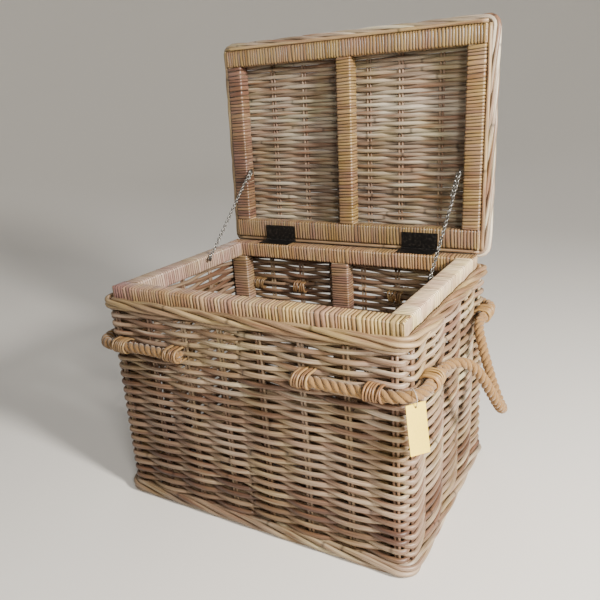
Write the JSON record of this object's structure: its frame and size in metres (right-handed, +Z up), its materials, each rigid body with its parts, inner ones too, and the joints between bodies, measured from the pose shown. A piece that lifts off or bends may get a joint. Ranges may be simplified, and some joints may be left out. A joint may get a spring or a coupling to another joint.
{
  "type": "wicker storage trunk",
  "caption": "Rectangular woven rattan trunk with an open hinged lid on two chains, a bound timber frame, rope handles lashed to its sides and a blank paper tag.",
  "frame": {"origin": "on the floor, under the middle of the rim frame", "axes": "+Z up, -Y the front that faces the user, +Y towards the hinges, +X the trunk's right as seen from the front"},
  "size_m": [0.8258, 0.5437, 0.9115],
  "materials": {
    "rattan": "satin rattan with bark, mottled pinkish grey-brown",
    "dark_rattan": "satin rattan, darker",
    "peel": "flat glossy rattan peel, ochre to purple-brown",
    "timber": "raw",
    "rope": "three-strand natural fibre rope",
    "hinge_metal": "blackened, worn",
    "screw_metal": "dull",
    "chain_metal": "bright plated",
    "tag_paper": "matt pale yellow, blank",
    "string": "matt cotton"
  },
  "bodies": {
    "trunk": {"base_panel": "dark_rattan", "bottom_border": "dark_rattan", "front_weave": "rattan", "back_weave": "rattan", "left_weave": "rattan", "right_weave": "rattan", "wall_stakes": "dark_rattan", "top_border": "rattan", "base_frame": "timber", "post_cores": "timber", "rim_cores": "timber", "post_wrap_front_left": "peel", "post_wrap_front_middle": "peel", "post_wrap_front_right": "peel", "post_wrap_back_left": "peel", "post_wrap_back_middle": "peel", "post_wrap_back_right": "peel", "rim_wrap_front": "peel", "rim_wrap_back": "peel", "rim_wrap_left": "peel", "rim_wrap_right": "peel", "rim_hinge_leaves": "hinge_metal", "hinge_pins": "screw_metal", "rim_hinge_screws": "screw_metal", "rope_left_front": "rope", "rope_left_back": "rope", "rope_right_front": "rope", "rope_right_back": "rope", "rope_lashings": "peel", "rim_chain_screws": "screw_metal"},
    "lid": {"lid_panel": "rattan", "lid_stakes": "dark_rattan", "lid_border": "rattan", "lid_edge_rods": "rattan", "lid_cores": "timber", "lid_wrap_front": "peel", "lid_wrap_back": "peel", "lid_wrap_left": "peel", "lid_wrap_middle": "peel", "lid_wrap_right": "peel", "lid_hinge_leaves": "hinge_metal", "lid_hinge_screws": "screw_metal", "lid_chain_screws": "screw_metal"},
    "left_chain_lower": {"chain_left_lower": "chain_metal"},
    "left_chain_upper": {"chain_left_upper": "chain_metal"},
    "right_chain_lower": {"chain_right_lower": "chain_metal"},
    "right_chain_upper": {"chain_right_upper": "chain_metal"},
    "left_handle": {"handle_left_rope": "rope"},
    "right_handle": {"handle_right_rope": "rope"},
    "tag": {"price_tag": "tag_paper", "tag_string": "string"}
  },
  "joints": [
    {"name": "lid_hinge", "type": "hinge", "parent": "trunk", "child": "lid", "pos_m": [0, 0.218, 0.4563], "axis": [1, 0, 0], "range_deg": [0, 92]},
    {"name": "left_chain_lower_swing", "type": "hinge", "parent": "trunk", "child": "left_chain_lower", "pos_m": [-0.256, 0.04, 0.4463], "axis": [1, 0, 0], "range_deg": [-131.87, 0]},
    {"name": "right_chain_lower_swing", "type": "hinge", "parent": "trunk", "child": "right_chain_lower", "pos_m": [0.256, 0.04, 0.4463], "axis": [1, 0, 0], "range_deg": [-131.87, 0]},
    {"name": "left_chain_upper_swing", "type": "hinge", "parent": "lid", "child": "left_chain_upper", "pos_m": [-0.256, 0.2337, 0.61985], "axis": [1, 0, 0], "range_deg": [-13.87, 0]},
    {"name": "right_chain_upper_swing", "type": "hinge", "parent": "lid", "child": "right_chain_upper", "pos_m": [0.256, 0.2337, 0.61985], "axis": [1, 0, 0], "range_deg": [-13.87, 0]},
    {"name": "right_handle_swing", "type": "hinge", "parent": "trunk", "child": "right_handle", "pos_m": [0.331, 0, 0.345], "axis": [0, -1, 0], "range_deg": [0, 90]},
    {"name": "left_handle_swing", "type": "hinge", "parent": "trunk", "child": "left_handle", "pos_m": [-0.331, 0, 0.345], "axis": [0, 1, 0], "range_deg": [0, 90]},
    {"name": "tag_swing", "type": "hinge", "parent": "trunk", "child": "tag", "pos_m": [0.31841, -0.23241, 0.345], "axis": [-0.7071, -0.7071, 0], "range_deg": [0, 50]}
  ],
  "couplings": [
    {"joint": "left_chain_lower_swing", "follows": "lid_hinge", "ratio": -1.4333},
    {"joint": "right_chain_lower_swing", "follows": "lid_hinge", "ratio": -1.4333},
    {"joint": "left_chain_upper_swing", "follows": "lid_hinge", "ratio": -0.15062},
    {"joint": "right_chain_upper_swing", "follows": "lid_hinge", "ratio": -0.15062}
  ]
}
